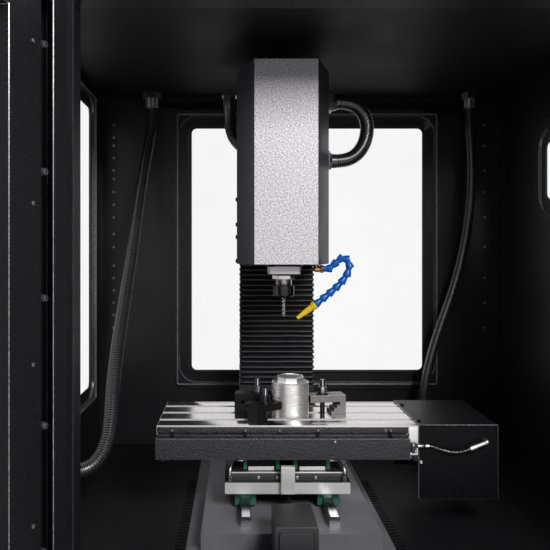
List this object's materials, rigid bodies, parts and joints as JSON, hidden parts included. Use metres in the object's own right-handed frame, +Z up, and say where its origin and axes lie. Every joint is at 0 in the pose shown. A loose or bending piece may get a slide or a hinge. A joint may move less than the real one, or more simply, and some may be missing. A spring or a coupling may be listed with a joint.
{
  "type": "enclosed desktop cnc milling machine",
  "caption": "Enclosed bench milling machine with open twin doors, T-slot table, collet spindle, pleated way cover, coolant hose and a clamped round workpiece.",
  "frame": {"origin": "on the floor, under the middle of the machine with its doors open", "axes": "+X right, +Y towards the back wall, +Z up"},
  "size_m": [0.9694, 0.9792, 0.881],
  "materials": {
    "textured_paint": "black textured powder coat",
    "smooth_paint": "black satin paint",
    "head_paint": "dark grey grained coat",
    "cast_paint": "black painted casting",
    "window_clear": "clear sheet",
    "handle_metal": "anodised",
    "table_steel": "ground",
    "rail_steel": "ground",
    "carriage_steel": "black oxide",
    "cap_green": "moulded",
    "motor_black": "satin",
    "screw_steel": "rolled thread",
    "clamp_black": "black oxide",
    "stud_steel": "machined",
    "work_aluminium": "turned",
    "bellows_rubber": "pleated",
    "spindle_steel": "machined",
    "tool_carbide": "ground",
    "brass": "turned",
    "hose_blue": "moulded",
    "nozzle_yellow": "moulded",
    "conduit_plastic": "corrugated",
    "fitting_black": "moulded",
    "pipe_metal": "drawn",
    "braid_metal": "braided",
    "foot_rubber": "moulded"
  },
  "bodies": {
    "frame": {"base_cabinet": "textured_paint", "feet": "foot_rubber", "left_wall": "textured_paint", "right_wall": "textured_paint", "back_wall": "textured_paint", "roof": "textured_paint", "front_frame": "textured_paint", "left_window": "window_clear", "right_window": "window_clear", "back_window": "window_clear", "machine_base": "cast_paint", "column": "cast_paint", "y_rails": "rail_steel", "y_motor": "motor_black", "z_rails": "rail_steel", "z_motor": "motor_black", "z_bellows": "bellows_rubber", "left_wall_conduit": "conduit_plastic", "right_wall_conduit": "conduit_plastic", "wall_conduit_fittings": "fitting_black"},
    "left_door": {"left_door": "textured_paint", "left_door_window": "window_clear", "left_door_handle": "handle_metal"},
    "right_door": {"right_door": "textured_paint", "right_door_window": "window_clear", "right_door_handle": "handle_metal"},
    "saddle": {"saddle": "cast_paint", "linear_carriages": "carriage_steel", "carriage_caps": "cap_green", "oil_pipes": "pipe_metal"},
    "table": {"table": "table_steel", "table_guard": "textured_paint", "trip_dogs": "stud_steel", "limit_switch": "stud_steel", "workpiece": "work_aluminium", "step_clamps": "clamp_black", "clamp_studs": "stud_steel", "x_rails": "rail_steel", "x_motor": "motor_black", "x_motor_cover": "smooth_paint", "switch_cable": "braid_metal", "cable_plug": "stud_steel"},
    "x_screw": {"x_screw": "screw_steel"},
    "y_screw": {"y_screw": "screw_steel"},
    "z_screw": {"z_screw": "screw_steel"},
    "head": {"head_casting": "cast_paint", "head_cover": "head_paint", "spindle_housing": "spindle_steel", "spindle_motor": "motor_black", "z_carriages": "carriage_steel", "coolant_elbow": "brass", "right_head_conduit": "conduit_plastic", "left_head_conduit": "conduit_plastic", "head_conduit_fittings": "fitting_black"},
    "spindle": {"spindle_shaft": "spindle_steel", "collet_nut": "spindle_steel", "end_mill": "tool_carbide"},
    "hose_base": {"coolant_hose_base": "hose_blue"},
    "hose_end": {"coolant_hose_end": "hose_blue"},
    "nozzle": {"coolant_nozzle": "nozzle_yellow"}
  },
  "joints": [
    {"name": "left_door_hinge", "type": "hinge", "parent": "frame", "child": "left_door", "pos_m": [-0.349, -0.15036, 0.5], "axis": [0, 0, 1], "range_deg": [-5, 105]},
    {"name": "right_door_hinge", "type": "hinge", "parent": "frame", "child": "right_door", "pos_m": [0.349, -0.15036, 0.5], "axis": [0, 0, -1], "range_deg": [-5, 105]},
    {"name": "y_slide", "type": "slide", "parent": "frame", "child": "saddle", "axis": [0, 1, 0], "range_m": [-0.06, 0.06]},
    {"name": "x_slide", "type": "slide", "parent": "saddle", "child": "table", "axis": [1, 0, 0], "range_m": [-0.055, 0.12]},
    {"name": "z_slide", "type": "slide", "parent": "frame", "child": "head", "axis": [0, 0, 1], "range_m": [-0.094, 0], "deforming": ["z_bellows"]},
    {"name": "x_screw_spin", "type": "hinge", "parent": "table", "child": "x_screw", "pos_m": [-0.06, 0.13164, 0.212], "axis": [1, 0, 0], "range_deg": [-3961, 8641]},
    {"name": "y_screw_spin", "type": "hinge", "parent": "frame", "child": "y_screw", "pos_m": [-0.06, 0.13164, 0.155], "axis": [0, 1, 0], "range_deg": [-4321, 4321]},
    {"name": "z_screw_spin", "type": "hinge", "parent": "frame", "child": "z_screw", "pos_m": [-0.06, 0.33964, 0.54], "axis": [0, 0, 1], "range_deg": [-6769, 1]},
    {"name": "spindle_spin", "type": "hinge", "parent": "head", "child": "spindle", "pos_m": [-0.06, 0.13164, 0.5], "axis": [0, 0, 1], "continuous": true},
    {"name": "hose_swivel", "type": "hinge", "parent": "head", "child": "hose_base", "pos_m": [0.0069, 0.13564, 0.509], "axis": [1, 0, 0], "range_deg": [-30, 30]},
    {"name": "hose_bend", "type": "hinge", "parent": "hose_base", "child": "hose_end", "pos_m": [0.0495, 0.13564, 0.5135], "axis": [0, 1, 0], "range_deg": [-15, 5]},
    {"name": "nozzle_bend", "type": "hinge", "parent": "hose_end", "child": "nozzle", "pos_m": [-0.004, 0.14164, 0.4515], "axis": [0, 1, 0], "range_deg": [-15, 15]}
  ],
  "couplings": [
    {"joint": "x_screw_spin", "follows": "x_slide", "rad_per_m": 1256.6},
    {"joint": "y_screw_spin", "follows": "y_slide", "rad_per_m": 1256.6},
    {"joint": "z_screw_spin", "follows": "z_slide", "rad_per_m": 1256.6}
  ]
}
